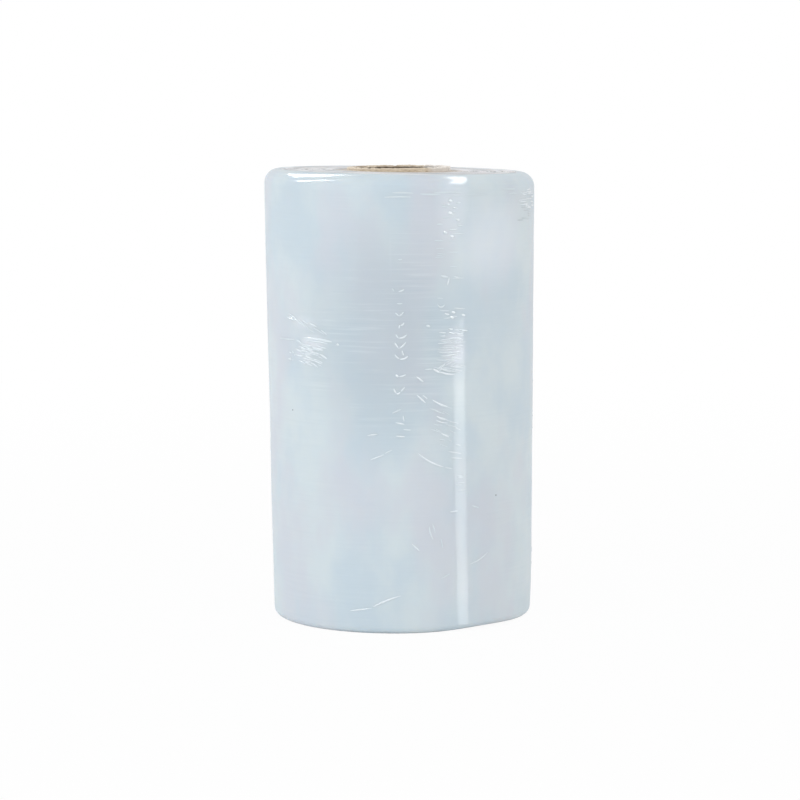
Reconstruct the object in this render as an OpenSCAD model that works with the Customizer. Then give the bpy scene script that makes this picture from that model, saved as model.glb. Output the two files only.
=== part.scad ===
// Roll of clear polythene sealing film, wound on a paper core and standing on its end.
// The origin is at the middle of the lower end, and +Z runs up along the core.

/* [Film winding] */
// Width of the film, which is the height of the winding
film_width = 250; // [100:1:500]
// Diameter of the winding at its upper end
winding_top_d = 151; // [130:0.5:300]
// Diameter of the winding at its lower end, where the film was wound tighter
winding_foot_d = 145.5; // [130:0.5:300]
// Radius of the soft upper rim, where the outer turns have drawn in
top_rim_r = 8; // [1:0.5:12]
// Radius of the lower rim
foot_rim_r = 4; // [1:0.5:12]
// Step at the free end of the film, which clings to the turn below it
tail_step = 0.4; // [0.1:0.05:1]
// Direction of the free end round the roll, from +X towards +Y
tail_angle = 150; // [0:1:359]

/* [Turns on the ends] */
// Pitch of the bundles of turns, which the film laid side by side as it was wound
turn_pitch = 2; // [1.2:0.1:6]
// Width of the groove between two bundles
groove_w = 0.7; // [0.2:0.1:1]
// Depth of that groove
groove_depth = 0.35; // [0.1:0.05:1]
// How far a bundle may lie below the upper end of the winding
bundle_wander = 0.3; // [0:0.05:1]

/* [Paper core] */
// Bore of the paper core, for the shaft of a dispenser
core_bore_d = 50; // [20:0.5:76]
// Wall of the paper core
core_wall = 4; // [1.5:0.1:10]
// How far the core stands out of the upper end of the winding
core_stand = 2; // [0:0.1:10]
// Number of paper plies in the wall
ply_count = 5; // [3:1:9]
// How far the cut end of one ply lies below the next
ply_step = 0.12; // [0.05:0.01:0.3]

/* [Hidden] */
$fn = 128;

// Angles by which the height of a bundle wanders from one to the next
wander_a = 97;
wander_b = 41;

core_r = core_bore_d / 2;
core_outer_r = core_r + core_wall;
core_length = film_width + core_stand;
ply = core_wall / ply_count;

top_rim_centre = [winding_top_d / 2 - top_rim_r, film_width - top_rim_r];
foot_rim_centre = [winding_foot_d / 2 - foot_rim_r, foot_rim_r];
rim_line = top_rim_centre - foot_rim_centre;
// Direction that is square to the side wall, which touches both rims
wall_normal = atan2(rim_line[1], rim_line[0]) - acos((foot_rim_r - top_rim_r) / norm(rim_line));

widest_r = max(winding_top_d, winding_foot_d) / 2;
turn_count = ceil((widest_r - core_outer_r) / turn_pitch) + 2;

// Depth of a bundle of turns below the upper end of the winding
function wander(i) = bundle_wander * (2 + sin(i * wander_a) + sin(i * wander_b)) / 4;

// Half section of the winding without its turns, grown outwards by a distance
module winding_section(grow) {
    foot = foot_rim_centre + [grow, 0];
    top = top_rim_centre + [grow, 0];
    square_out = [cos(wall_normal), sin(wall_normal)];
    polygon([
        [0, 0],
        [foot[0], 0],
        foot,
        foot + foot_rim_r * square_out,
        top + top_rim_r * square_out,
        top,
        [top[0], film_width],
        [0, film_width]]);
    translate(foot)
        circle(foot_rim_r);
    translate(top)
        circle(top_rim_r);
}

// Half section whose two ends carry the bundles of turns, moved outwards by a distance.
// The share says how far a bundle has gone towards the height of the next one.
module turns_section(grow, share) {
    first_r = core_outer_r + grow - turn_pitch;
    function crest(i) = film_width - wander(i) * (1 - share) - wander(i + 1) * share;
    upper = [for (i = [0:turn_count])
        let (r = first_r + i * turn_pitch)
        each [
            [r, crest(i)],
            [r + turn_pitch - groove_w, crest(i)],
            [r + turn_pitch - groove_w / 2, crest(i) - groove_depth]]];
    lower = [for (i = [turn_count:-1:0])
        let (r = first_r + i * turn_pitch)
        each [
            [r + turn_pitch - groove_w / 2, groove_depth],
            [r + turn_pitch - groove_w, 0],
            [r, 0]]];
    polygon(concat(upper, lower));
}

// The turns run outwards as a spiral of half rounds about two centres, half a pitch apart.
// The outer wall does the same with the step of the free end, so that each half meets the next.
module film_roll() {
    color("lightsteelblue")
    difference() {
        rotate([0, 0, tail_angle]) {
            rotate_extrude(angle = 180)
                intersection() {
                    winding_section(0);
                    turns_section(0, 0);
                }
            rotate([0, 0, 180])
                intersection() {
                    translate([-tail_step / 2, 0, 0])
                        rotate_extrude(angle = 180)
                            winding_section(tail_step / 2);
                    translate([-turn_pitch / 2, 0, 0])
                        rotate_extrude(angle = 180)
                            turns_section(turn_pitch / 2, 0.5);
                }
        }
        translate([0, 0, -1])
            cylinder(r = core_outer_r, h = film_width + 2);
    }
}

// Tube of spirally wound kraft paper, whose plies end in fine steps where it was cut
module paper_core() {
    plies = [for (i = [0:ply_count - 1])
        let (z = core_length - ply_step * abs(i - floor(ply_count / 2)))
        each [
            [core_r + i * ply, z],
            [core_r + (i + 1) * ply, z]]];
    color("burlywood")
    rotate_extrude()
        polygon(concat(
            [[core_outer_r, 0], [core_r, 0]],
            plies));
}

paper_core();
film_roll();
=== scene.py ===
"""Sealing film roll: clear polythene film wound on a kraft paper core, standing on its end."""

import logging
import math
from dataclasses import dataclass, field
from enum import Enum

import bmesh
import bpy
import numpy as np
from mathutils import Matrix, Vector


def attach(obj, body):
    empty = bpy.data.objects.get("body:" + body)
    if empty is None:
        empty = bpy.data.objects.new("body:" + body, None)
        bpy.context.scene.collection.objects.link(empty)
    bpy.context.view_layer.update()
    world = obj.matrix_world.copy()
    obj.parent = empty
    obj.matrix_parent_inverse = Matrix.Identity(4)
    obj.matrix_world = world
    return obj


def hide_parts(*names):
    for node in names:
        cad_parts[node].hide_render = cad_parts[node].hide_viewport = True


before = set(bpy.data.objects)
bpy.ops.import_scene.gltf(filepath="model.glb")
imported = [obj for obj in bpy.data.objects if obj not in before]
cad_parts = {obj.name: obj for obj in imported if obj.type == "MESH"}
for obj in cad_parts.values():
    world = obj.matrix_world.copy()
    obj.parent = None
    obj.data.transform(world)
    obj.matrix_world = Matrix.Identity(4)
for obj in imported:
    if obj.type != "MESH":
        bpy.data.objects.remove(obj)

MM = 0.001
TURN = 2 * math.pi
ROOT_BODY = "root"
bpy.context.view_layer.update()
WIND = "wind"
WHITENESS = "whiteness"
FILM_WIDTH = 250 * MM
CORE_LENGTH = FILM_WIDTH + 2 * MM
WALL_RADIUS = 74 * MM

Colour = tuple[float, float, float, float]
Socket = bpy.types.NodeSocket

log = logging.getLogger("film_roll")


def linear(hex_colour: str) -> Colour:
    """Turns an sRGB hex colour into linear light.

    Args:
        hex_colour: six hex digits after a hash.

    Returns:
        Red, green and blue in linear light, and an alpha of 1.
    """
    parts = [int(hex_colour[i:i + 2], 16) / 255 for i in (1, 3, 5)]
    lit = [c / 12.92 if c <= 0.04045 else ((c + 0.055) / 1.055) ** 2.4 for c in parts]
    return (lit[0], lit[1], lit[2], 1.0)


def grey(level: float) -> Colour:
    """Returns a grey of a level of linear light."""
    return (level, level, level, 1.0)


def smooth_step(x: np.ndarray) -> np.ndarray:
    """Rises smoothly from 0 at 0 to 1 at 1."""
    x = np.clip(x, 0.0, 1.0)
    return x * x * (3.0 - 2.0 * x)


def on_grid(*rows: np.ndarray) -> np.ndarray:
    """Stretches arrays to their common shape and stacks them as the parts of one vector a point."""
    return np.stack(np.broadcast_arrays(*rows), axis=-1)


def around(radius: np.ndarray | float, angle: np.ndarray, height: np.ndarray) -> np.ndarray:
    """Places points by their distance from the axis, their angle from +X towards +Y and their height."""
    return on_grid(radius * np.cos(angle), radius * np.sin(angle), height)


def merged_object(
    name: str, points: np.ndarray, faces: np.ndarray, trait: str, values: np.ndarray,
    finish: bpy.types.Material,
) -> bpy.types.Object:
    """Makes a smooth mesh object whose seams and poles are welded.

    Args:
        name: the object's name.
        points: vertex positions in metres, on a grid of any shape.
        faces: four vertex numbers a row.
        trait: name of the vector attribute that the material's patterns follow.
        values: that attribute's vector for each vertex.
        finish: the object's material.

    Returns:
        The new object, at the origin.
    """
    weld = 0.002 * MM
    mesh = bpy.data.meshes.new(name)
    mesh.from_pydata(points.reshape(-1, 3).tolist(), [], faces.tolist())
    layer = mesh.attributes.new(trait, "FLOAT_VECTOR", "POINT")
    layer.data.foreach_set("vector", values.astype(np.float32).ravel())
    work = bmesh.new()
    work.from_mesh(mesh)
    bmesh.ops.remove_doubles(work, verts=work.verts, dist=weld)
    bmesh.ops.dissolve_degenerate(work, edges=work.edges, dist=weld)
    bmesh.ops.recalc_face_normals(work, faces=work.faces)
    work.to_mesh(mesh)
    work.free()
    mesh.polygons.foreach_set("use_smooth", np.ones(len(mesh.polygons), dtype=bool))
    mesh.update()
    mesh.materials.append(finish)
    piece = bpy.data.objects.new(name, mesh)
    bpy.context.scene.collection.objects.link(piece)
    return piece


def grid_faces(rows: int, columns: int, close_rows: bool = False) -> np.ndarray:
    """Numbers the four corners of each cell of a grid whose points are stored row by row.

    Args:
        rows: number of rows.
        columns: number of points in a row.
        close_rows: whether the last row is joined to the first.

    Returns:
        One row of four vertex numbers for each cell.
    """
    last = rows if close_rows else rows - 1
    i, j = np.meshgrid(np.arange(last), np.arange(columns - 1), indexing="ij")
    here, beyond = i * columns + j, (i + 1) % rows * columns + j
    return np.stack([here, here + 1, beyond + 1, beyond], axis=-1).reshape(-1, 4)


@dataclass
class Shading:
    """The nodes that colour and light one material or the world."""

    tree: bpy.types.NodeTree

    def add(self, kind: str, inputs: dict | None = None, out: int | str = 0, **settings) -> Socket | None:
        """Adds one shader node with its settings and links.

        Args:
            kind: the node's type name, less the words that all of them begin with.
            inputs: socket name or number, to a value or to another node's output.
            out: name or number of the output that is wanted.
            settings: the node's own properties.

        Returns:
            That output, or nothing where the node has none.
        """
        node = self.tree.nodes.new("ShaderNode" + kind)
        for name, value in settings.items():
            setattr(node, name, value)
        for key, value in (inputs or {}).items():
            if isinstance(value, Socket):
                self.tree.links.new(value, node.inputs[key])
            else:
                node.inputs[key].default_value = value
        return node.outputs[out] if node.outputs else None

    def lay(self, ground: str, *layers: tuple[Socket, str | Socket]) -> Socket:
        """Lays colours over one another, each as dense as its share.

        Args:
            ground: hex colour of the ground.
            layers: for each layer the share's socket, and its hex colour or its colour's socket.

        Returns:
            The colour's socket.
        """
        colour = linear(ground)
        for share, hue in layers:
            over = linear(hue) if isinstance(hue, str) else hue
            colour = self.add("Mix", {0: share, 6: colour, 7: over}, 2, data_type="RGBA")
        return colour

    def stretched_noise(
        self, place: Socket, scale: tuple[float, ...], detail: float = 2.0,
        start: tuple[float, ...] = (0.0, 0.0, 0.0),
    ) -> Socket:
        """Lays noise over coordinates that are stretched by their own scale each way.

        Args:
            place: the coordinates.
            scale: how many cells the noise has along each of them.
            detail: octaves of finer noise.
            start: where in the noise the pattern starts.

        Returns:
            The noise level's socket.
        """
        scaled = self.add("Mapping", {"Vector": place, "Scale": scale, "Location": start})
        return self.add("TexNoise", {"Vector": scaled, "Scale": 1.0, "Detail": detail})

    def seen(self) -> Socket:
        """Returns a share that is 1 on rays from the camera, in gloss and through glass, and else 0."""
        share = 0.0
        for ray in ("Is Camera Ray", "Is Glossy Ray", "Is Transmission Ray"):
            share = self.add("Math", {0: share, 1: self.add("LightPath", out=ray)}, operation="MAXIMUM")
        return share


def new_material(name: str) -> tuple[bpy.types.Material, Shading]:
    """Makes an empty material and returns it with its shading."""
    material = bpy.data.materials.new(name)
    material.use_nodes = True
    material.node_tree.nodes.clear()
    return material, Shading(material.node_tree)


@dataclass(frozen=True)
class Rise:
    """A share that goes smoothly from one level to another while a value goes from low to high."""

    low: float
    high: float
    first: float = 0.0
    last: float = 1.0

    def of(self, shade: Shading, value: Socket) -> Socket:
        """Returns the share's socket for a value's socket."""
        ends = {"From Min": self.low, "From Max": self.high, "To Min": self.first, "To Max": self.last}
        return shade.add("MapRange", {"Value": value, **ends}, interpolation_type="SMOOTHSTEP")


@dataclass(frozen=True)
class Haze:
    """A soft patch of the wall painted lighter or darker than round it, for painted sheen and painted
    shade.

    The angle is from the front, positive to the right.
    """

    angle: float
    height_mm: float
    wide_mm: float
    tall_mm: float
    share: float

    def at(self, shade: Shading, place: Socket) -> Socket:
        """Gives a share that is largest inside an ellipsoid and dies away towards its edge.

        Args:
            shade: the material's shading.
            place: the object's coordinates.

        Returns:
            The share's socket.
        """
        turn = math.radians(self.angle)
        middle = (WALL_RADIUS * math.sin(turn), -WALL_RADIUS * math.cos(turn), self.height_mm * MM)
        reach = (self.wide_mm * MM, self.wide_mm * MM, self.tall_mm * MM)
        scale = tuple(1 / length for length in reach)
        start = tuple(-part / length for part, length in zip(middle, reach))
        scaled = shade.add("Mapping", {"Vector": place, "Scale": scale, "Location": start})
        far = shade.add("VectorMath", {0: scaled}, "Value", operation="LENGTH")
        return Rise(1.0, 0.25, 0.0, self.share).of(shade, far)


@dataclass(frozen=True)
class WoundFilmFinish:
    """Linear low density polythene stretch film, blown thin and wound tight on itself.

    One layer is clear, but hundreds of them with air between look milky and pale blue. The outside
    is glossy. Fine lines run round the roll where the film's edges and gauge bands lie on each other.
    On the ends the cut edges of the turns show, which are greyer and scatter the light. Cells are
    counted to a metre each way.
    """

    pale: str = "#d3dde1"
    blue: str = "#c9d6de"
    lilac: str = "#d0d4dc"
    air: str = "#e8eff2"
    shadow: str = "#b4c4ce"
    # Painted sheen for the hazes; under the creases of the fan and the comb it is also whiter film with air
    # in it
    air_and_sheen: str = "#e6ebf3"
    # Painted shade: the clear colour darkens a patch over the front of the wall
    clear: str = "#b7c3cb"
    # The ends' greys are lighter than the cut edges alone, as painted sheen of the grazing light
    edge_pale_and_sheen: str = "#f2f2f4"
    edge_dark_and_sheen: str = "#bfc1c4"
    core_tint: str = "#c6b9aa"
    ior: float = 1.51
    milk_mm: float = 5.0
    milk: float = 0.35
    cloud_mm: float = 34.0
    patch_cells: tuple[float, float, float] = (30.0, 30.0, 22.0)
    cling_cells: tuple[float, float, float] = (18.0, 18.0, 50.0)
    streak_mm: float = 1.3
    line_mm: float = 0.8
    edge_mm: float = 0.7
    line_depth_mm: float = 0.01
    streak_depth_mm: float = 0.006
    coat_roughness: float = 0.045
    end_roughness: float = 0.3
    pale_cloud: Rise = Rise(0.36, 0.64)
    lilac_cloud: Rise = Rise(0.45, 0.68, 0.0, 0.75)
    streaky_patch: Rise = Rise(0.42, 0.6, 0.15, 1.0)
    streaks_in_shade_patch: Rise = Rise(0.0, 0.35, 0.25, 1.0)
    light_streak: Rise = Rise(0.52, 0.7, 0.0, 0.2)
    dark_streak: Rise = Rise(0.48, 0.3, 0.0, 0.24)
    pale_ring: Rise = Rise(0.4, 0.6)
    near_core: Rise = Rise(FILM_WIDTH + 28 * MM, FILM_WIDTH + 38 * MM, 0.0, 0.75)
    upper_end: Rise = Rise(FILM_WIDTH, FILM_WIDTH + 2.5 * MM)
    lower_end: Rise = Rise(0.0, -2.5 * MM)
    roughness: Rise = Rise(0.3, 0.7, 0.28, 0.33)
    cling: Rise = Rise(0.4, 0.6, 0.14, 0.2)
    end_gloss: Rise = Rise(0.0, 1.0, 1.0, 0.15)
    # The first four hazes lie under the comb and the fan: whiter film where creases gather, and painted
    # sheen. The rest are painted sheen: a glow under the right rim highlight, two faint upright lines of
    # painted highlight, and the lighter upper right.
    hazes: tuple[Haze, ...] = (
        Haze(23.0, 155.5, 9.0, 14.0, 0.7),
        Haze(-39.5, 159.0, 12.0, 5.5, 0.65),
        Haze(-45.0, 152.0, 9.0, 7.0, 0.35),
        Haze(-45.0, 169.0, 12.0, 5.0, 0.3),
        Haze(23.0, 232.0, 13.0, 32.0, 0.35),
        Haze(-3.7, 214.0, 1.6, 32.0, 0.35),
        Haze(31.7, 228.0, 2.4, 18.0, 0.4),
        Haze(42.0, 212.0, 34.0, 32.0, 0.45),
    )
    # Painted shade: a darker patch over the front above the middle, where the streaks are fainter too
    painted_shade_patch: Haze = Haze(-10.0, 166.0, 56.0, 84.0, 0.55)

    def wall_colour(self, shade: Shading, place: Socket, streak: Socket) -> Socket:
        """Mixes the wall's colour from milky clouds, streaks round the roll, painted sheen and painted
        shade.

        Args:
            shade: the material's shading.
            place: the object's coordinates.
            streak: noise that is long along the turns and short across them.

        Returns:
            The colour's socket.
        """
        per_cloud = 1 / (self.cloud_mm * MM)
        cloud = shade.stretched_noise(place, (per_cloud, per_cloud, 0.7 * per_cloud), 4.0)
        tint = shade.stretched_noise(place, (per_cloud, per_cloud, 0.5 * per_cloud), 3.0, (5.3, 1.7, 2.6))
        patch = shade.stretched_noise(place, self.patch_cells, 2.0, (3.1, 8.4, 0.5))
        # Painted shade darkens the front above the middle, and the streaks fade there
        painted_shade_patch = self.painted_shade_patch.at(shade, place)
        strength = shade.add(
            "Math", {0: self.streaky_patch.of(shade, patch), 1: self.streaks_in_shade_patch.of(shade, painted_shade_patch)},
            operation="MULTIPLY",
        )
        light, dark = (
            shade.add("Math", {0: strength, 1: rise.of(shade, streak)}, operation="MULTIPLY")
            for rise in (self.light_streak, self.dark_streak)
        )
        # Painted sheen: each haze lightens the wall, partly as whiter film where creases gather
        air_and_sheen = 0.0
        for haze in self.hazes:
            air_and_sheen = shade.add("Math", {0: air_and_sheen, 1: haze.at(shade, place)}, operation="MAXIMUM")
        return shade.lay(
            self.blue,
            (self.pale_cloud.of(shade, cloud), self.pale),
            (self.lilac_cloud.of(shade, tint), self.lilac),
            (painted_shade_patch, self.clear),
            (light, self.air),
            (dark, self.shadow),
            (air_and_sheen, self.air_and_sheen),
        )

    def end_colour(self, shade: Shading, wind: Socket, along: Socket) -> Socket:
        """Mixes the ends' colour from rings of pale and dark edges, lightened as painted sheen, with the
        core's brown showing near it.

        Args:
            shade: the material's shading.
            wind: the direction round the roll and the length along its section.
            along: that length alone.

        Returns:
            The colour's socket.
        """
        per_edge = 1 / (self.edge_mm * MM)
        rings = shade.stretched_noise(wind, (1.6, 1.6, per_edge))
        bands = shade.stretched_noise(wind, (1.1, 1.1, 0.16 * per_edge), 1.0, (2.0, 4.0, 6.0))
        depth = shade.add("Mix", {0: 0.45, 2: rings, 3: bands})
        return shade.lay(
            self.edge_dark_and_sheen,
            (self.pale_ring.of(shade, depth), self.edge_pale_and_sheen),
            (self.near_core.of(shade, along), self.core_tint),
        )

    def build(self) -> bpy.types.Material:
        """Builds the material and returns it."""
        material, shade = new_material("wound_polythene_film")
        place = shade.add("TexCoord", out="Object")
        wind = shade.add("Attribute", out="Vector", attribute_name=WIND)
        along = shade.add("SeparateXYZ", {0: wind}, "Z")
        streak = shade.stretched_noise(wind, (2.0, 2.0, 1 / (self.streak_mm * MM)), 3.0)
        lines = shade.stretched_noise(wind, (3.0, 3.0, 1 / (self.line_mm * MM)))
        cling = shade.stretched_noise(place, self.cling_cells, 2.0, (7.7, 1.3, 4.2))

        # The ends' lengths along the section lie above the film's width or below nothing
        upper, lower = self.upper_end.of(shade, along), self.lower_end.of(shade, along)
        ends = shade.add("Math", {0: upper, 1: lower}, operation="ADD")
        wall = self.wall_colour(shade, place, streak)
        colour = shade.add(
            "Mix", {0: ends, 6: wall, 7: self.end_colour(shade, wind, along)}, 2, data_type="RGBA"
        )

        # Streaks spread a highlight up and down the roll, and the cut edges on the ends hardly shine
        rough = shade.add(
            "Math", {0: ends, 1: self.end_roughness, 2: self.roughness.of(shade, streak)},
            operation="MULTIPLY_ADD",
        )
        coat = shade.add(
            "Math", {0: self.cling.of(shade, cling), 1: self.end_gloss.of(shade, ends)},
            operation="MULTIPLY",
        )
        fine = {"Height": lines, "Strength": 0.2, "Distance": self.line_depth_mm * MM}
        coarse = {"Height": streak, "Strength": 0.2, "Distance": self.streak_depth_mm * MM}
        surface = shade.add("BsdfPrincipled", {
            "Base Color": colour, "Roughness": rough, "IOR": self.ior, "Specular IOR Level": 0.0,
            "Subsurface Weight": self.milk, "Subsurface Radius": (0.8, 1.0, 1.2),
            "Subsurface Scale": self.milk_mm * MM,
            "Coat Weight": coat, "Coat Roughness": self.coat_roughness, "Coat IOR": self.ior,
            "Normal": shade.add("Bump", {**coarse, "Normal": shade.add("Bump", fine)}),
        })
        shade.add("OutputMaterial", {"Surface": surface})
        return material


@dataclass(frozen=True)
class CreasedFilmFinish:
    """The same film where it is pinched into a crease, which traps air and whitens it, with a painted
    highlight too.

    The attribute says how white each crease is, partly as painted highlight, and below nothing how
    dark, for dust under the film and for painted shade in dark creases.
    """

    film: str = "#ced9df"
    # Painted highlight: the creases' white is partly whitened film and partly a painted highlight on their
    # ridges
    white: str = "#f5faff"
    # Dark creases at the right edge are painted shade in this colour; the two dark specks are dust
    dust_and_shade: str = "#5d6468"
    grain_mm: float = 1.5
    grain_depth_mm: float = 0.1
    mottle: Rise = Rise(0.3, 0.7, 0.8, 1.0)

    def build(self) -> bpy.types.Material:
        """Builds the material and returns it."""
        material, shade = new_material("creased_polythene_film")
        place = shade.add("TexCoord", out="Object")
        whiteness = shade.add("Attribute", out="Fac", attribute_name=WHITENESS)
        grain = shade.stretched_noise(place, (1 / (self.grain_mm * MM),) * 3)
        white, dust_and_shade = (
            shade.add("Math", {0: whiteness, 1: share}, operation="MULTIPLY", use_clamp=True)
            for share in (self.mottle.of(shade, grain), -1.0)
        )
        relief = {"Height": grain, "Strength": 0.2, "Distance": self.grain_depth_mm * MM}
        surface = shade.add("BsdfPrincipled", {
            "Base Color": shade.lay(self.film, (white, self.white), (dust_and_shade, self.dust_and_shade)),
            "Roughness": 0.3, "IOR": 1.51, "Specular IOR Level": 0.2,
            "Coat Weight": 0.3, "Coat Roughness": 0.08, "Normal": shade.add("Bump", relief),
        })
        shade.add("OutputMaterial", {"Surface": surface})
        return material


@dataclass(frozen=True)
class KraftFinish:
    """Unbleached kraft paperboard, wound in spiral plies and glued: matt, with long pale and dark fibres.

    The bore is painted dark, as painted shade inside the tube, and the cut end and the outside are
    paler. The right of the cut end is scuffed to pale fibres. Cells are counted to a metre each way.
    """

    # Painted shade: the bore's kraft is painted near black for the shade inside the tube
    bore: str = "#3c2b1b"
    outside: str = "#d3c3ab"
    scuffed: str = "#e0dad3"
    pale_fibre: str = "#eadfce"
    dark_fibre: str = "#7d6346"
    fibre_mm: float = 0.5
    fibre_depth_mm: float = 0.15
    blotch_cells: tuple[float, float, float] = (110.0, 110.0, 240.0)
    out_of_bore: Rise = Rise(CORE_LENGTH - 1.4 * MM, CORE_LENGTH - 0.4 * MM)
    near_end: Rise = Rise(CORE_LENGTH - 6 * MM, CORE_LENGTH - 3 * MM)
    to_the_right: Rise = Rise(0.5, 0.68, 0.0, 0.85)
    pale_share: Rise = Rise(0.52, 0.68, 0.0, 0.6)
    pale_outside: Rise = Rise(0.0, 1.0, 0.15, 1.0)
    dark_share: Rise = Rise(0.47, 0.34, 0.0, 0.4)
    stain_share: Rise = Rise(0.46, 0.36, 0.0, 0.4)

    def build(self) -> bpy.types.Material:
        """Builds the material and returns it."""
        material, shade = new_material("spiral_wound_kraft_board")
        place = shade.add("TexCoord", out="Object")
        wind = shade.add("Attribute", out="Vector", attribute_name=WIND)
        rightward, along = (shade.add("SeparateXYZ", {0: wind}, axis) for axis in "XZ")
        fibre = shade.stretched_noise(wind, (14.0, 14.0, 1 / (self.fibre_mm * MM)), 4.0)
        blotch = shade.stretched_noise(place, self.blotch_cells, 3.0)
        # Inside the bore the paper is painted dark and has few pale fibres, as painted shade
        paper = self.out_of_bore.of(shade, along)
        pale, worn = (
            shade.add("Math", {0: first, 1: second}, operation="MULTIPLY")
            for first, second in (
                (self.pale_share.of(shade, fibre), self.pale_outside.of(shade, paper)),
                (self.near_end.of(shade, along), self.to_the_right.of(shade, rightward)),
            )
        )
        relief = {"Height": fibre, "Strength": 0.6, "Distance": self.fibre_depth_mm * MM}
        surface = shade.add("BsdfPrincipled", {
            "Base Color": shade.lay(
                self.bore,
                (paper, self.outside),
                (pale, self.pale_fibre),
                (self.dark_share.of(shade, fibre), self.dark_fibre),
                (self.stain_share.of(shade, blotch), self.dark_fibre),
                (worn, self.scuffed),
            ),
            "Roughness": 0.85, "IOR": 1.45, "Normal": shade.add("Bump", relief),
        })
        shade.add("OutputMaterial", {"Surface": surface})
        return material


@dataclass
class Ripple:
    """A gentle relief that repeats round the roll: a sum of seeded waves in angle and height."""

    depth: float
    round_waves: tuple[int, int]
    height_waves: tuple[float, float]
    count: int
    seed: int

    def at(self, angle: np.ndarray, height: np.ndarray) -> np.ndarray:
        """Adds waves, each a cosine of a whole number of turns and of the height.

        Args:
            angle: angles round the roll, in radians.
            height: heights, in metres.

        Returns:
            The relief at each point, in metres.
        """
        draw = np.random.default_rng(self.seed)
        total = np.zeros(np.broadcast(angle, height).shape)
        for _ in range(self.count):
            turns = draw.integers(self.round_waves[0], self.round_waves[1] + 1)
            waves = draw.uniform(*self.height_waves)
            start = draw.uniform(0, TURN)
            total += np.cos(turns * angle + TURN * waves * height + start)
        return self.depth * total / math.sqrt(self.count)


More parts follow.
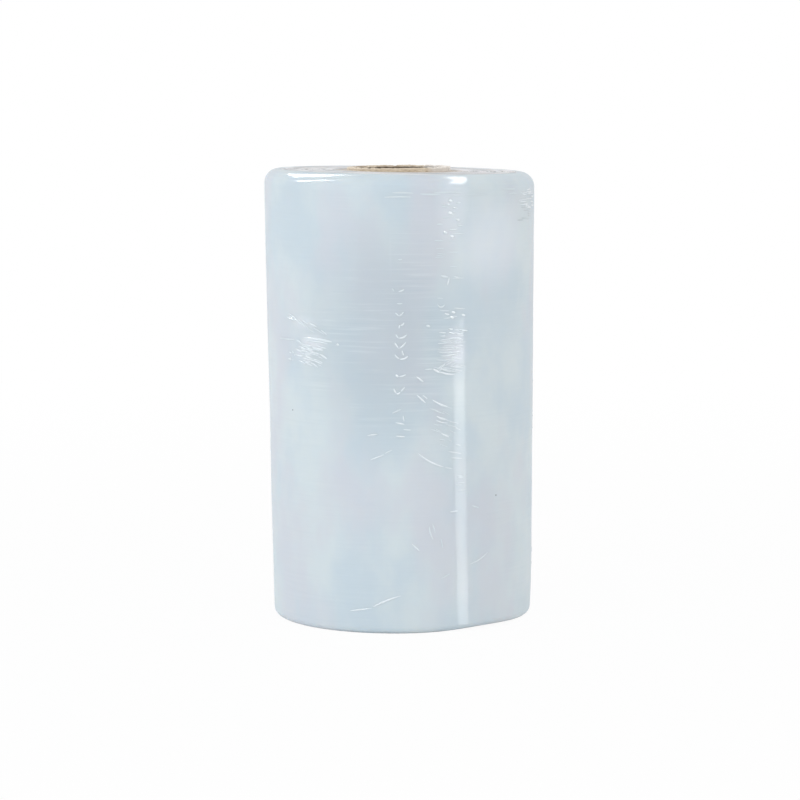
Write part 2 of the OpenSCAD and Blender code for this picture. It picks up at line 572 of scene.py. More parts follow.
@dataclass
class Winding:
    """The film's winding: a tapered roll with soft rims, spiral turns on its ends and a free end.

    Angles run from +X towards +Y. The upper end leans, up on the left and down on the right, from a
    share of the width upwards. The lower rim has a knock at the front right, lifted and dented.
    """

    top_radius: float = 75.5 * MM
    foot_radius: float = 72.75 * MM
    inner_radius: float = 29 * MM
    width: float = FILM_WIDTH
    top_rim: float = 8 * MM
    foot_rim: float = 4 * MM
    tail_step: float = 0.4 * MM
    tail_angle: float = math.radians(150)
    pitch: float = 2 * MM
    groove_width: float = 0.7 * MM
    groove_depth: float = 0.35 * MM
    groove_fade: float = 1.5 * MM
    wander: float = 0.3 * MM
    wander_angles: tuple[float, float] = (math.radians(97), math.radians(41))
    lean: float = 0.0225
    lean_start: float = 0.6
    lift: float = 1.3 * MM
    lift_height: float = 30 * MM
    lift_angle: float = math.radians(-50)
    lift_start: float = 0.6
    lift_grow: float = 0.35
    dent: float = 0.9 * MM
    dent_height: float = 26 * MM
    dent_angle: float = math.radians(-12)
    knock_spread: float = 0.35
    foot_fade: float = 4 * MM
    top_fade: float = 3 * MM
    pucker_height: float = 26 * MM
    pucker_grow: float = 14 * MM
    columns: int = 360
    wall_rows: int = 62
    top_rim_rows: int = 14
    foot_rim_rows: int = 8
    bore_rows: int = 4
    bands: Ripple = field(default_factory=lambda: Ripple(0.05 * MM, (0, 2), (12.0, 60.0), 14, 11))
    slack: Ripple = field(default_factory=lambda: Ripple(0.10 * MM, (2, 7), (1.0, 9.0), 12, 5))
    pucker: Ripple = field(default_factory=lambda: Ripple(0.04 * MM, (12, 40), (20.0, 70.0), 16, 9))

    @property
    def wall_normal(self) -> float:
        """Angle of the line that is square to the wall, which touches both rims."""
        rise = (self.width - self.top_rim) - self.foot_rim
        run = (self.top_radius - self.top_rim) - (self.foot_radius - self.foot_rim)
        return math.atan2(rise, run) - math.acos((self.foot_rim - self.top_rim) / math.hypot(rise, run))

    def turn_at(self, angle: np.ndarray) -> np.ndarray:
        """Returns the share of a full turn that lies between the free end and each angle."""
        return np.mod(angle - self.tail_angle, TURN) / TURN

    def knock(self, angle: np.ndarray, middle: float) -> np.ndarray:
        """Returns a share that is 1 at a direction and dies away on both sides of it as a bell curve."""
        off = np.mod(angle - middle + math.pi, TURN) - math.pi
        return np.exp(-((off / self.knock_spread) ** 2))

    def shift(self, radius: np.ndarray, angle: np.ndarray, height: np.ndarray) -> np.ndarray:
        """Gives how far the turns have shifted along the roll, by the lean above and the knock below.

        Args:
            radius: distance of each point from the axis.
            angle: the points' angles, in radians.
            height: heights before the shift.

        Returns:
            The shift upwards at each point, in metres.
        """
        reach = radius / self.top_radius
        upper = smooth_step((height / self.width - self.lean_start) / (1 - self.lean_start))
        lower = smooth_step(1 - height / self.lift_height)
        lower = lower * smooth_step((reach - self.lift_start) / self.lift_grow)
        lean = self.lean * radius * np.cos(angle)
        return self.lift * self.knock(angle, self.lift_angle) * lower - upper * lean

    def relief(self, angle: np.ndarray, height: np.ndarray) -> np.ndarray:
        """Gives how far the wall stands in or out, which fades towards both rims.

        Args:
            angle: the points' angles, in radians.
            height: heights, in metres.

        Returns:
            The distance outwards at each point, in metres.
        """
        fade = smooth_step(height / self.foot_fade) * smooth_step((self.width - height) / self.top_fade)
        near_rim = smooth_step((height - self.width + self.pucker_height) / self.pucker_grow)
        waves = self.bands.at(angle, height) + self.slack.at(angle, height)
        dent = self.dent * self.knock(angle, self.dent_angle) * smooth_step(1 - height / self.dent_height)
        return fade * (waves + near_rim * self.pucker.at(angle, height) - dent)

    def wall_radius(self, angle: np.ndarray, height: np.ndarray, turn: np.ndarray) -> np.ndarray:
        """Gives the wall's radius: a straight taper between the rims, one turn's growth and the relief.

        Args:
            angle: the points' angles, in radians.
            height: heights, in metres.
            turn: share of a full turn from the free end.

        Returns:
            The radius at each point, in metres.
        """
        up, out = math.sin(self.wall_normal), math.cos(self.wall_normal)
        low = self.foot_rim + self.foot_rim * up
        high = self.width - self.top_rim + self.top_rim * up
        low_radius = self.foot_radius - self.foot_rim + self.foot_rim * out
        high_radius = self.top_radius - self.top_rim + self.top_rim * out
        share = (height - low) / (high - low)
        straight = low_radius + (high_radius - low_radius) * share
        return straight + self.tail_step * turn + self.relief(angle, height)

    def end_depth(
        self, radius: np.ndarray, turn: np.ndarray, limit: np.ndarray
    ) -> tuple[np.ndarray, np.ndarray]:
        """Gives the turns' relief on an end, as grooves of V section along a spiral.

        The distance from the bore, less the pitch times the turn, says where in a bundle a point lies.
        The first stretch of each pitch is the bundle's flat edge and the rest is the groove.

        Args:
            radius: distance of each point from the axis.
            turn: share of a full turn from the free end.
            limit: radius where the rim begins.

        Returns:
            How deep the groove is, and how far the bundle lies below the end.
        """
        rounding = 1e-9
        bundle = (radius - self.inner_radius) / self.pitch - turn
        whole = np.floor(bundle + rounding)
        across = (bundle - whole) * self.pitch
        half_groove = self.groove_width / 2
        groove = np.clip(1 - np.abs(across - self.pitch + half_groove) / half_groove, 0, 1)
        drift = (2 + sum(np.sin(step * (whole + turn)) for step in self.wander_angles)) / 4
        fade = smooth_step((limit - radius) / self.groove_fade)
        return self.groove_depth * groove * fade, self.wander * drift * fade

    def end_rows(self, limit: np.ndarray, turn: np.ndarray, marks: np.ndarray) -> np.ndarray:
        """Gives the radii of an end's rows, which start one pitch inside the bore and grow by a pitch.

        Args:
            limit: radius where the rim begins.
            turn: share of a full turn from the free end.
            marks: where the rows of one bundle lie within its pitch.

        Returns:
            One row of radii for each mark of each bundle, in metres.
        """
        bundles = np.arange(-1, math.ceil((limit.max() - self.inner_radius) / self.pitch) + 1)
        start = (self.inner_radius + bundles[:, None] * self.pitch + marks[None, :]).reshape(-1, 1)
        return np.clip(start + self.pitch * turn, self.inner_radius, limit)

    def build(self, finish: bpy.types.Material) -> bpy.types.Object:
        """Builds the winding as one closed mesh.

        A half section runs out over the upper end, round the upper rim, down the wall, round the lower
        rim, in over the lower end and up the bore. Its points are carried round one turn, while the rows
        on the ends move outwards by a pitch. A strip of faces closes the plane of the free end.

        Args:
            finish: the film's material.

        Returns:
            The new object.
        """
        turn = np.linspace(0, 1, self.columns + 1)[None, :]
        level = 0 * turn
        angle = TURN * turn + self.tail_angle
        grown = self.tail_step * turn
        flat = self.pitch - self.groove_width
        marks = np.array([0, flat / 2, flat, self.pitch - self.groove_width / 2])
        top_limit = self.top_radius - self.top_rim + grown
        foot_limit = self.foot_radius - self.foot_rim + grown
        top_r = self.end_rows(top_limit, turn, marks)
        foot_r = self.end_rows(foot_limit, turn, marks)[::-1]
        top_groove, top_drift = self.end_depth(top_r, turn, top_limit)
        foot_z, _ = self.end_depth(foot_r, turn, foot_limit)
        top_z = self.width - top_drift - top_groove

        rise = np.linspace(math.pi / 2, self.wall_normal, self.top_rim_rows)[1:, None]
        fall = np.linspace(self.wall_normal, -math.pi / 2, self.foot_rim_rows)[:-1, None]
        rim_z = self.width - self.top_rim + self.top_rim * np.sin(rise) + level
        base_z = self.foot_rim + self.foot_rim * np.sin(fall) + level
        wall_z = np.linspace(rim_z[-1, 0], base_z[0, 0], self.wall_rows + 2)[1:-1, None] + level
        bore_z = np.linspace(0.0, self.width - self.wander, self.bore_rows)[1:-1, None] + level
        rim_r = top_limit + self.top_rim * np.cos(rise) + self.relief(angle, rim_z)
        base_r = foot_limit + self.foot_rim * np.cos(fall) + self.relief(angle, base_z)
        wall_r = self.wall_radius(angle, wall_z, turn)
        bore_r = self.inner_radius + 0 * bore_z

        radius = np.concatenate([top_r, rim_r, wall_r, base_r, foot_r, bore_r])
        height = np.concatenate([top_z, rim_z, wall_z, base_z, foot_z, bore_z])
        height = height + self.shift(radius, angle, height)
        points = around(radius, angle, height)
        over_top, under_foot = self.width + top_limit - top_r, foot_r - foot_limit
        along = np.concatenate([over_top, rim_z, wall_z, base_z, under_foot, bore_z])
        rows, columns = radius.shape

        # The strip across the plane of the free end: each row meets the row that it became after a turn
        after = np.arange(rows)
        before = after.copy()
        top_count = len(top_r)
        before[:top_count] = np.minimum(after[:top_count] + len(marks), top_count - 1)
        foot_start = top_count + len(rim_r) + len(wall_r) + len(base_r)
        foot = slice(foot_start, foot_start + len(foot_r))
        before[foot] = np.maximum(after[foot] - len(marks), foot_start)
        following = np.roll(after, -1)
        strip = on_grid(
            before * columns, before[following] * columns,
            following * columns + columns - 1, after * columns + columns - 1,
        )
        faces = np.concatenate([grid_faces(rows, columns, close_rows=True), strip])
        wind = around(1.0, angle, along)
        return merged_object("wound_film", points, faces, WIND, wind, finish)


class Path(Enum):
    """How a crease runs: as a straight pinch, or with its middle bowed up or down."""

    STRAIGHT = 0.0
    UP = -1.0
    DOWN = 1.0


@dataclass
class Pinch:
    """One crease between two places on the wall.

    Each place is an angle from the front, positive to the right, and a height in millimetres.
    """

    start_angle: float
    start_mm: float
    end_angle: float
    end_mm: float
    whiteness: float
    width_mm: float = 0.9
    lift_mm: float = 0.3
    path: Path = Path.STRAIGHT
    bow_mm: float = 0.5

    def strokes(self, draw: np.random.Generator, radius: float) -> np.ndarray:
        """Gives the crease as one row.

        Args:
            draw: the seeded source of random numbers, which one crease doesn't need.
            radius: the wall's radius.

        Returns:
            Its angle, height, heading, length, width, lift, bend and whiteness.
        """
        run = math.radians(self.end_angle - self.start_angle) * radius
        climb = (self.end_mm - self.start_mm) * MM
        length = math.hypot(run, climb)
        bend = self.path.value * 8 * self.bow_mm * MM / length
        angle = math.radians(self.start_angle + self.end_angle) / 2
        height = (self.start_mm + self.end_mm) / 2 * MM
        sizes = [self.width_mm * MM, self.lift_mm * MM, bend, self.whiteness]
        return np.array([[angle, height, math.atan2(climb, run), length, *sizes]])


@dataclass
class Creases:
    """A group of like creases scattered over a patch of the wall.

    A heading of 0 runs to the right round the roll and 90 runs up it. The slope says how much higher the
    patch is at its right edge than at its middle.
    """

    angle: float
    height_mm: float
    wide: float
    tall_mm: float
    heading: float
    heading_spread: float
    length_mm: float
    count: int
    width_mm: float
    lift_mm: float
    whiteness: float
    slope_mm: float = 0.0

    def strokes(self, draw: np.random.Generator, radius: float) -> np.ndarray:
        """Draws the group's creases.

        Args:
            draw: the seeded source of random numbers.
            radius: the wall's radius, which a scattered group doesn't need.

        Returns:
            One row for each crease: angle, height, heading, length, width, lift, bend and whiteness.
        """
        n = self.count
        across = draw.uniform(-1, 1, n)
        spread = draw.uniform(-1, 1, n)
        angle = np.radians(self.angle + self.wide * across)
        height = (self.height_mm + self.tall_mm * spread + self.slope_mm * across) * MM
        heading = np.radians(self.heading + self.heading_spread * draw.uniform(-1, 1, n))
        length = self.length_mm * MM * draw.uniform(0.6, 1.3, n)
        width = self.width_mm * MM * draw.uniform(0.7, 1.25, n)
        lift = self.lift_mm * MM * draw.uniform(0.7, 1.2, n)
        bend = draw.uniform(-0.25, 0.25, n)
        whiteness = self.whiteness * draw.uniform(0.55, 1.2, n)
        return on_grid(angle, height, heading, length, width, lift, bend, whiteness)


@dataclass
class CreasedFilm:
    """The pinched creases, puckers and blisters of the outer turns, and two specks of dust."""

    winding: Winding
    stations: int = 11
    ring: int = 8
    sink: float = 0.12 * MM
    taper: float = 0.6
    thin_sink: float = 0.8
    foot_whiteness: float = 0.15
    seed: int = 20

    def fan(self) -> list[Pinch | Creases]:
        """Lists the creases that spread to the right from the left side, above the middle."""
        return [
            Pinch(-56.5, 171.6, -50.6, 169.8, 0.35),
            Pinch(-45.8, 170.4, -41.6, 168.4, 0.5),
            Pinch(-42.0, 169.0, -36.8, 167.0, 0.5, 1.0, 0.3, Path.UP, 0.4),
            Pinch(-35.4, 166.0, -32.0, 163.4, 0.4),
            Creases(-45, 168.4, 9, 0.9, -24, 5, 9, 9, 0.7, 0.2, 0.35, -4.0),
            Pinch(-64.0, 159.2, -50.4, 159.3, 0.3, 0.8, 0.25),
            Pinch(-46.0, 160.8, -28.4, 159.4, 0.4, 1.6, 0.25, Path.UP),
            Pinch(-44.0, 159.4, -31.0, 158.4, 0.35, 1.0, 0.25, Path.UP, 0.4),
            Pinch(-49.9, 159.4, -45.7, 156.8, 0.35, 1.0, 0.25, Path.UP),
            Pinch(-27.6, 158.6, -26.2, 158.2, 0.5, 1.2),
            Pinch(-50.6, 154.6, -46.0, 152.8, 0.5),
            Pinch(-50.6, 151.4, -45.2, 151.0, 0.45, 0.9, 0.3, Path.DOWN, 0.4),
            Pinch(-36.2, 152.8, -32.0, 150.2, 0.6, 1.1, 0.34),
            Pinch(-41.6, 147.6, -36.8, 145.0, 0.5, 1.0, 0.3, Path.UP, 0.4),
            Pinch(-45.4, 146.4, -42.0, 147.4, 0.45, 0.9, 0.3, Path.UP),
            Creases(-42, 154.6, 7, 2.8, -8, 5, 7.5, 24, 0.7, 0.2, 0.5),
            Creases(-41, 148.6, 6, 2.2, -14, 6, 6, 14, 0.7, 0.2, 0.55),
            Creases(-53.4, 150.0, 2.4, 2.6, -12, 30, 1.6, 10, 0.7, 0.2, 0.3),
        ]

    def column(self) -> list[Pinch]:
        """Lists the puckers that run down the front: low arcs whose ends turn up, no two alike."""
        return [
            Pinch(-0.8, 204.6, 1.2, 204.8, 0.35, 0.8),
            Pinch(-3.2, 189.4, -2.2, 187.2, 0.2, 0.7, 0.2),
            Pinch(-0.8, 187.4, 1.9, 188.8, 0.6, 0.9, 0.3, Path.DOWN, 0.3),
            Pinch(-1.5, 181.0, 1.2, 181.0, 0.3, 0.8, 0.25),
            Pinch(-2.2, 176.2, -0.4, 174.2, 0.45, 0.8, 0.25),
            Pinch(-0.6, 174.2, 1.5, 176.6, 0.5, 0.9, 0.3, Path.DOWN, 0.3),
            Pinch(-0.6, 167.4, -0.2, 169.4, 0.7),
            Pinch(-0.1, 169.0, 1.6, 171.0, 0.6, 0.9, 0.3, Path.DOWN, 0.6),
            Pinch(-1.9, 164.6, -0.6, 162.3, 0.6, 0.8, 0.3, Path.DOWN, 0.3),
            Pinch(-0.9, 162.4, 2.8, 164.4, 0.7, 1.1, 0.34, Path.DOWN, 0.7),
            Pinch(-2.5, 160.2, -0.6, 156.5, 0.85, 0.9, 0.34),
            Pinch(-0.8, 156.6, 2.5, 160.4, 0.65, 0.9, 0.3, Path.DOWN, 0.3),
            Pinch(-2.4, 153.8, -0.2, 151.0, 0.6, 0.9, 0.3, Path.DOWN, 0.4),
            Pinch(-0.6, 151.1, 3.3, 152.9, 0.75, 1.1, 0.34, Path.DOWN, 0.8),
            Pinch(0.6, 155.8, 1.2, 152.8, 0.6),
            Pinch(-2.2, 142.7, -0.9, 141.2, 0.8, 1.3, 0.36),
            Pinch(-0.9, 141.6, 2.3, 142.8, 0.6, 0.9, 0.3, Path.DOWN, 0.4),
            Pinch(-2.9, 135.4, -1.6, 132.2, 0.8, 1.0, 0.34, Path.DOWN, 0.3),
            Pinch(-1.9, 132.2, -0.1, 133.2, 0.8, 1.0, 0.34, Path.DOWN, 0.3),
            Pinch(-0.2, 133.2, 1.8, 136.0, 0.75, 0.8),
            Pinch(-4.0, 121.5, 0.4, 124.0, 0.3, 0.8, 0.2),
            Pinch(-2.6, 116.6, 1.6, 115.6, 0.7),
            Pinch(0.8, 120.5, 1.3, 117.0, 0.6, 0.8),
            Pinch(-2.4, 109.2, 1.8, 108.8, 0.7, 1.0),
            Pinch(0.6, 112.8, 4.4, 112.4, 0.4, 0.8, 0.2),
            Pinch(-14.6, 109.3, -9.6, 110.2, 0.55),
            Pinch(-13.6, 95.8, -6.8, 99.2, 0.5, 0.8, 0.25),
            Pinch(-7.2, 99.4, -3.6, 101.8, 0.35, 0.7, 0.2),
        ]

    def blisters(self) -> list[Pinch | Creases]:
        """Lists the small blisters above the right of the middle."""
        dots = [
            (21.4, 235.6, 0.9), (21.2, 229.2, 1.2), (24.6, 225.4, 0.7), (22.0, 216.6, 1.2),
            (19.0, 218.6, 0.7), (21.8, 172.8, 0.8), (27.1, 173.8, 1.0), (22.5, 175.5, 0.8),
            (11.6, 168.6, 0.45),
        ]
        marks = [Pinch(a - 1.0, h + 0.4, a + 1.0, h - 0.3, w, 1.4, 0.35) for a, h, w in dots]
        hooks = [
            Pinch(16.8, 195.6, 20.4, 194.6, 0.55, 1.0),
            Pinch(20.8, 194.8, 19.8, 190.0, 0.65),
            Pinch(22.6, 195.0, 25.2, 194.0, 0.35, 1.0, 0.25),
            Pinch(15.3, 180.6, 19.0, 180.2, 0.45, 0.9, 0.3, Path.DOWN, 1.8),
            Pinch(18.5, 175.3, 20.9, 174.6, 0.8, 1.0, 0.3, Path.DOWN, 0.3),
        ]
        scattered = [
            Creases(21, 226, 5, 10, -4, 6, 5.0, 14, 0.8, 0.15, 0.25),
            Creases(21, 196, 5, 24, -2, 4, 8.0, 16, 0.7, 0.1, 0.2),
            Creases(71, 235, 9, 6, -3, 3, 11, 20, 0.8, 0.2, 0.65),
            # Painted shade: dark creases along the right edge, in the dust colour
            Creases(70, 231, 9, 8, -3, 2, 13, 14, 0.9, 0.1, -0.16),
            Creases(28, 239.4, 30, 1.6, -1, 1.5, 20, 12, 0.9, 0.08, 0.16),
        ]
        return marks + hooks + scattered

    def comb(self) -> list[Pinch | Creases]:
        """Lists the near level creases right of the middle, which crowd together downwards."""
        return [
            Pinch(25.6, 165.5, 29.4, 165.2, 0.55, 1.0),
            Pinch(20.1, 166.9, 22.4, 166.6, 0.65, 0.8, 0.3, Path.DOWN, 0.3),
            Pinch(20.2, 165.0, 22.5, 164.5, 0.6, 0.8, 0.3, Path.DOWN, 0.3),
            Creases(22, 163.5, 5.0, 3.0, -2, 4, 6, 12, 0.6, 0.2, 0.45),
            Creases(21.5, 155.5, 4.0, 6.0, -3, 4, 9, 34, 0.6, 0.2, 0.5),
            Creases(20.5, 147.6, 4.0, 1.6, 28, 6, 4.5, 9, 0.6, 0.22, 0.55, 1.4),
            Creases(20.5, 145.2, 5.0, 2.2, -10, 5, 8, 14, 0.6, 0.22, 0.5),
            Pinch(9.8, 145.2, 13.6, 145.3, 0.35, 0.9, 0.25),
            Pinch(13.4, 145.4, 16.6, 143.2, 0.95, 1.2, 0.36),
            Pinch(16.4, 143.4, 23.6, 141.9, 0.6, 0.9, 0.3, Path.DOWN),
            Pinch(15.6, 146.6, 22.6, 143.6, 0.5, 0.8, 0.28, Path.DOWN, 0.9),
        ]

    def slant(self) -> list[Pinch | Creases]:
        """Lists the bright pinches that slant down to the right, below the comb."""
        return [
            Pinch(6.3, 141.6, 9.7, 138.3, 0.9, 1.0, 0.34),
            Pinch(6.4, 131.8, 10.6, 126.6, 0.9, 1.0, 0.36),
            Pinch(9.0, 131.4, 11.2, 129.0, 0.7, 0.8),
            Pinch(12.8, 129.0, 20.4, 124.4, 0.9, 1.0, 0.36, Path.DOWN, 0.6),
            Pinch(14.6, 119.8, 19.6, 117.4, 0.85, 1.0, 0.34, Path.DOWN, 0.4),
            Pinch(14.4, 117.6, 20.2, 115.6, 0.7, 0.8, 0.3, Path.DOWN),
            Pinch(16.6, 110.2, 20.8, 107.6, 0.85, 1.0, 0.34),
            Pinch(6.4, 100.4, 18.8, 91.4, 0.9, 1.0, 0.36, Path.DOWN, 1.2),
            Pinch(18.4, 91.5, 22.2, 90.4, 0.5, 0.8),
            Pinch(19.6, 100.2, 26.6, 98.2, 0.45, 0.9, 0.25),
            Pinch(21.0, 96.6, 27.0, 95.6, 0.35, 0.9, 0.25),
            Creases(19, 119, 5, 8, -22, 8, 7, 10, 0.7, 0.22, 0.35),
            Creases(20, 108, 6, 8, -18, 10, 5, 10, 0.7, 0.2, 0.3),
            Creases(26, 82, 1.6, 5, -2, 4, 5, 6, 0.8, 0.2, 0.35),
        ]

    def foot(self) -> list[Pinch]:
        """Lists the few fine creases of the lower half."""
        return [
            Pinch(20.6, 66.8, 24.6, 66.9, 0.7, 0.8),
            Pinch(31.0, 69.4, 35.2, 67.4, 0.35, 0.9, 0.2),
            Pinch(11.6, 60.0, 13.6, 51.6, 0.45, 0.9, 0.25, Path.DOWN, 0.7),
            Pinch(13.0, 61.2, 14.4, 55.0, 0.35, 0.8, 0.2),
            Pinch(16.6, 52.6, 17.6, 46.6, 0.3, 0.8, 0.2),
            Pinch(4.0, 50.2, 7.6, 45.8, 0.7),
            Pinch(29.4, 36.8, 40.4, 43.0, 0.55, 0.8, 0.28, Path.DOWN, 0.9),
            Pinch(16.4, 30.2, 21.0, 32.8, 0.4, 0.8, 0.25),
            Pinch(-24.0, 12.2, -12.6, 14.6, 0.5, 0.9, 0.28),
            Pinch(-13.6, 14.4, 0.2, 21.8, 0.65, 1.1, 0.34, Path.UP, 0.8),
            Pinch(-53.6, 120.9, -53.0, 120.1, -0.8, 1.0, 0.15),
            Pinch(44.2, 73.8, 44.8, 73.0, -0.8, 1.0, 0.15),
        ]

    def back(self) -> list[Creases]:
        """Lists the creases of the sides and the back, which the photo doesn't show."""
        return [
            Creases(118, 170, 14, 4, -12, 8, 9, 22, 0.7, 0.25, 0.4),
            Creases(122, 158, 18, 2, -4, 4, 15, 7, 0.9, 0.25, 0.4),
            Creases(176, 120, 3, 45, 40, 40, 4, 22, 0.8, 0.3, 0.6),
            Creases(186, 96, 10, 14, -28, 12, 9, 12, 0.9, 0.3, 0.7),
            Creases(-128, 190, 10, 16, -10, 12, 5, 18, 0.7, 0.25, 0.4),
            Creases(-112, 64, 8, 16, 24, 8, 12, 6, 0.8, 0.25, 0.5),
            Creases(96, 110, 9, 22, -22, 10, 8, 10, 0.8, 0.25, 0.4),
            Creases(98, 36, 12, 10, 18, 8, 12, 5, 0.8, 0.25, 0.4),
        ]

    def build(self, finish: bpy.types.Material) -> bpy.types.Object:
        """Builds every crease as a closed sliver that rises from just under the wall.

        Each crease is a ring of points carried along an arc on the wall. The ring's top follows half an
        ellipse, its foot is sunk into the film, and both width and lift fall to nothing at the two ends.

        Args:
            finish: the creased film's material.

        Returns:
            The new object.
        """
        draw = np.random.default_rng(self.seed)
        groups = self.fan() + self.column() + self.blisters() + self.comb() + self.slant()
        groups += self.foot() + self.back()
        strokes = np.concatenate([group.strokes(draw, self.winding.top_radius) for group in groups])
        angle, height, heading, length, width, lift, bend, whiteness = (
            column[:, None, None] for column in strokes.T
        )
        s = np.linspace(-0.5, 0.5, self.stations)[None, :, None]
        swell = np.maximum(1 - (2 * s) ** 2, 0) ** self.taper
        arch = np.linspace(0, math.pi, self.ring - 1)
        side = np.append(np.cos(arch), 0.0)
        rise = np.append(np.sin(arch), 0.0)
        under = np.append(np.zeros_like(arch), 1.0)
        course = heading + bend * s
        forward = length * s
        sag = length * bend * (s * s - 0.25) / 2
        half = side * width / 2 * swell
        run = forward * np.cos(heading) - sag * np.sin(heading) - half * np.sin(course)
        climb = forward * np.sin(heading) + sag * np.cos(heading) + half * np.cos(course)
        z = height + climb
        polar = angle + run / self.winding.top_radius - math.pi / 2
        wall = self.winding.wall_radius(polar, z, self.winding.turn_at(polar))
        proud = lift * swell * rise - self.sink * (1 + under * swell)
        radius = wall + proud + self.sink * swell * self.thin_sink * (1 - under)
        points = around(radius, polar, z)
        # Each crease is whitest along its crest and middle, partly as painted highlight
        crest = swell ** 0.5 * (self.foot_whiteness + (1 - self.foot_whiteness) * rise) * (1 - under)
        shares = on_grid(*[whiteness * crest] * 3)

        cells = grid_faces(self.stations, self.ring + 1)
        wrapped = cells // (self.ring + 1) * self.ring + cells % (self.ring + 1) % self.ring
        starts = np.arange(len(strokes))[:, None, None] * self.stations * self.ring
        faces = (wrapped[None] + starts).reshape(-1, 4)
        return merged_object("creased_film", points, faces, WHITENESS, shares, finish)


@dataclass
class PaperCore:
    """The paper core: a tube of spiral plies with a rough cut at its upper end.

    The edge of a ply is listed as shares of its thickness, and how far each lies below the cut as a
    share of the fray.
    """

    bore_radius: float = 25 * MM
    wall: float = 4 * MM
    length: float = CORE_LENGTH
    plies: int = 5
    ply_step: float = 0.12 * MM
    ply_section: tuple[tuple[float, float], ...] = ((0.06, 0.5), (0.22, 0.0), (0.78, 0.0), (0.94, 0.5))
    fray: float = 0.4 * MM
    fray_waves: int = 12
    inner_edge: float = 0.18 * MM
    inner_edge_share: float = 0.06
    ply_width: float = 62 * MM
    bore_top: float = 1.5 * MM
    side_top: float = 1.0 * MM
    columns: int = 288
    bore_rows: int = 168
    side_rows: int = 6
    seed: int = 7

    def build(self, finish: bpy.types.Material) -> bpy.types.Object:
        """Builds the core as one closed mesh.

        A half section runs up the bore, out over the stepped cut edge, down the outside and in over the
        foot. The bore carries the edge of the inner ply as a low step along a helix, and the cut edge is
        frayed by seeded waves round the tube.

        Args:
            finish: the core's material.

        Returns:
            The new object.
        """
        draw = np.random.default_rng(self.seed)
        angle = np.linspace(0, TURN, self.columns + 1)[None, :]
        level = 0 * angle
        bore_z = np.linspace(0, self.length - self.bore_top, self.bore_rows)[:, None] + level
        helix = np.mod(bore_z / self.ply_width + angle / TURN, 1.0)
        edge = smooth_step(helix / self.inner_edge_share) * (1 - helix)
        bore_r = self.bore_radius + self.inner_edge * edge

        cut_r, cut_z = [], []
        for i in range(self.plies):
            end = self.length - self.ply_step * abs(i - self.plies // 2)
            waves = sum(
                np.cos(draw.integers(2, 40) * angle + draw.uniform(0, TURN))
                for _ in range(self.fray_waves)
            ) / math.sqrt(self.fray_waves)
            rough = self.fray * (waves * 0.8 - 0.5 + draw.uniform(-0.4, 0.4, angle.shape))
            rough[:, -1] = rough[:, 0]
            for share, drop in self.ply_section:
                cut_r.append(self.bore_radius + (i + share) * self.wall / self.plies + level)
                cut_z.append(np.minimum(end + rough - drop * self.fray, self.length))
        cut_r, cut_z = np.concatenate(cut_r), np.concatenate(cut_z)
        side_z = np.linspace(self.length - self.side_top, 0, self.side_rows)[:, None] + level
        side_r = self.bore_radius + self.wall + 0 * side_z
        radius = np.concatenate([bore_r, cut_r, side_r])
        height = np.concatenate([bore_z, cut_z, side_z])
        over_cut = self.length + cut_r - self.bore_radius
        along = np.concatenate([bore_z, over_cut, 2 * self.length + self.wall - side_z])
        points = around(radius, angle, height)
        wind = around(1.0, angle, along)
        faces = grid_faces(*radius.shape, close_rows=True)
        return merged_object("kraft_core", points, faces, WIND, wind, finish)


@dataclass
class Lamp:
    """One soft studio lamp, placed by its direction from the roll's axis and turned to it.

    The azimuth is from the camera's side, positive to the right, and the elevation is above the place
    that the lamp is turned to. A lamp for a highlight only shows in gloss and doesn't light the colour.
    """

    name: str
    azimuth: float
    elevation: float
    distance: float
    wide: float
    tall: float
    power: float
    colour: str = "#ffffff"
    aim: float = 0.12
    turn: float = 0.0
    highlight_only: bool = False

    def build(self) -> None:
        """Makes the lamp."""
        data = bpy.data.lights.new(self.name, "AREA")
        data.shape = "RECTANGLE"
        data.size = self.wide
        data.size_y = self.tall
        data.energy = self.power
        data.color = linear(self.colour)[:3]
        lamp = bpy.data.objects.new(self.name, data)
        bpy.context.scene.collection.objects.link(lamp)
        a, e = math.radians(self.azimuth), math.radians(self.elevation)
        out = np.array([math.cos(e) * math.sin(a), -math.cos(e) * math.cos(a), math.sin(e)])
        lamp.location = np.array([0.0, 0.0, self.aim]) + self.distance * out
        spin = Matrix.Rotation(math.radians(self.turn), 3, "Z")
        facing = Vector(-out).to_track_quat("-Z", "Y").to_matrix()
        lamp.rotation_euler = (facing @ spin).to_euler()
        lamp.visible_camera = False
        lamp.visible_diffuse = not self.highlight_only


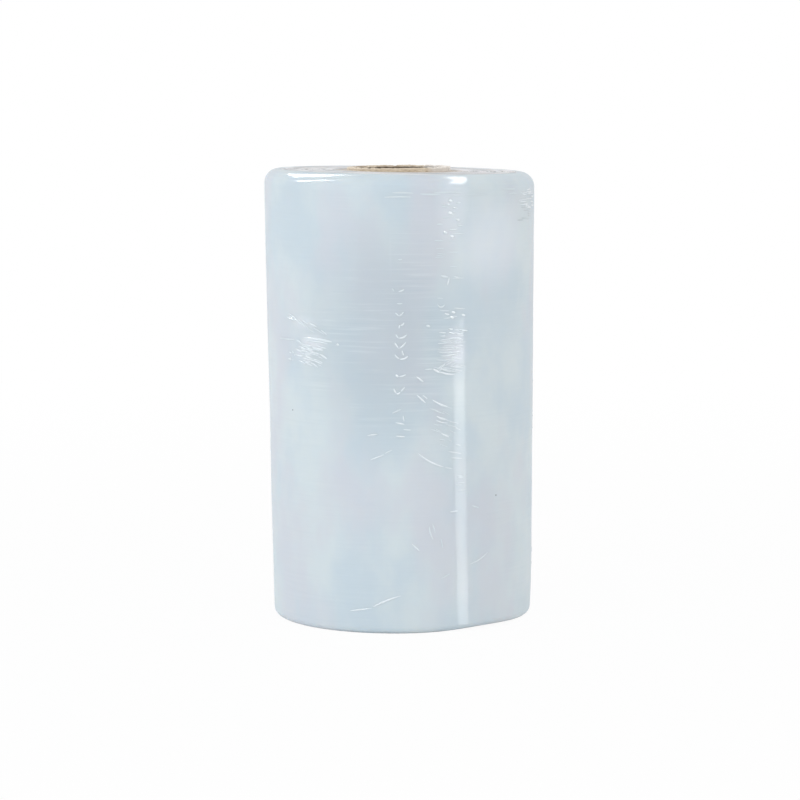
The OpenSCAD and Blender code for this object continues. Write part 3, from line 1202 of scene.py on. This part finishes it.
@dataclass
class Studio:
    """The plain pale floor, the white surround, the lamps and the camera."""

    floor_half: float = 40.0
    floor_white: float = 0.86
    floor_glow: Rise = Rise(0.25, 1.3, 0.95, 1.0)
    surround_glow: Rise = Rise(0.0, 1.0, 0.88, 1.0)
    camera_distance: float = 1.638
    camera_pitch: float = 6.52
    camera_roll: float = 0.5
    lens_mm: float = 130.55
    sensor_mm: float = 36.0
    frame_px: float = 800.0
    middle_px: tuple[float, float] = (400.8, 392.2)
    middle_height: float = 0.1248

    def lamps(self) -> list[Lamp]:
        """Lists the lamps: two soft ones, and those whose mirror images lie on the wall and the rim."""
        white = "#ffffff"
        return [
            Lamp("soft_left", -50, 10, 1.5, 0.9, 0.9, 4.9, "#f2f9ff"),
            Lamp("soft_right", 42, 10, 1.6, 0.9, 0.9, 2.3),
            Lamp("strip_right", 54, 0, 1.1, 0.19, 0.72, 6.4, white, -0.30, 15, True),
            Lamp("crest_left", -139.5, 47.5, 1.2, 0.60, 0.56, 36.0, white, 0.25, 12, True),
            Lamp("line_left", -84, 41, 1.2, 0.14, 0.88, 26.0, white, 0.25, -38, True),
            Lamp("crest_right", 94, 58, 1.2, 0.17, 1.45, 34.0, white, 0.25, -68, True),
        ]

    def build_floor(self) -> None:
        """Makes the floor, whose own white keeps the roll's shadow pale but there."""
        half = self.floor_half
        corners = [(-half, -half, 0), (half, -half, 0), (half, half, 0), (-half, half, 0)]
        mesh = bpy.data.meshes.new("floor")
        mesh.from_pydata(corners, [], [(0, 1, 2, 3)])
        floor = bpy.data.objects.new("floor", mesh)
        bpy.context.scene.collection.objects.link(floor)
        material, shade = new_material("pale_floor")
        paint = shade.add("BsdfDiffuse", {"Color": grey(self.floor_white)})
        glow = shade.add("Emission", {"Color": grey(1.0), "Strength": 1.0})
        far = shade.add("VectorMath", {0: shade.add("TexCoord", out="Object")}, "Value", operation="LENGTH")
        shares = {0: shade.seen(), 1: self.floor_glow.of(shade, far)}
        share = shade.add("Math", shares, operation="MULTIPLY")
        shade.add("OutputMaterial", {"Surface": shade.add("MixShader", {0: share, 1: paint, 2: glow})})
        mesh.materials.append(material)
        floor.visible_glossy = False

    def build_surround(self) -> None:
        """Makes the world: white where it is seen or mirrored, and a soft fill for everything else."""
        world = bpy.data.worlds.new("white_surround")
        bpy.context.scene.world = world
        world.use_nodes = True
        world.node_tree.nodes.clear()
        shade = Shading(world.node_tree)
        strength = self.surround_glow.of(shade, shade.seen())
        back = shade.add("Background", {"Color": grey(1.0), "Strength": strength})
        shade.add("OutputWorld", {"Surface": back})

    def build_camera(self) -> None:
        """Makes the camera so that the roll's middle falls on its pixel of the photo."""
        data = bpy.data.cameras.new("camera")
        data.sensor_width = self.sensor_mm
        data.lens = self.lens_mm
        camera = bpy.data.objects.new("camera", data)
        bpy.context.scene.collection.objects.link(camera)
        pitch, roll = math.radians(self.camera_pitch), math.radians(self.camera_roll)
        back = np.array([0.0, -math.cos(pitch), math.sin(pitch)])
        side = np.array([1.0, 0.0, 0.0])
        up = np.array([0.0, math.sin(pitch), math.cos(pitch)])
        per_pixel = self.camera_distance / (self.lens_mm / self.sensor_mm * self.frame_px)
        right_px, down_px = (middle - self.frame_px / 2 for middle in self.middle_px)
        middle = np.array([0.0, 0.0, self.middle_height])
        place = middle + (-right_px * side + down_px * up) * per_pixel + self.camera_distance * back
        turned_side = math.cos(roll) * side - math.sin(roll) * up
        turned_up = math.sin(roll) * side + math.cos(roll) * up
        axes = np.stack([turned_side, turned_up, back, place], axis=-1)
        camera.matrix_world = Matrix([*axes.tolist(), [0, 0, 0, 1]])
        bpy.context.scene.camera = camera

    def build(self) -> None:
        """Builds the whole studio."""
        self.build_floor()
        self.build_surround()
        for lamp in self.lamps():
            lamp.build()
        self.build_camera()
        bpy.context.scene.view_settings.view_transform = "Standard"


def main() -> None:
    """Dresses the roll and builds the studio."""
    logging.basicConfig(level=logging.INFO, format="%(message)s")
    film = WoundFilmFinish().build()
    winding = Winding()
    wound = winding.build(film)
    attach(wound, ROOT_BODY)
    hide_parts("film_roll")

    creases = CreasedFilm(winding).build(CreasedFilmFinish().build())
    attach(creases, ROOT_BODY)

    core = PaperCore().build(KraftFinish().build())
    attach(core, ROOT_BODY)
    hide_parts("paper_core")

    for piece in (wound, creases, core):
        mesh = piece.data
        mesh.calc_loop_triangles()
        log.info("%s: %d vertices, %d triangles", piece.name, len(mesh.vertices), len(mesh.loop_triangles))
    Studio().build()


if __name__ == "__main__":
    main()
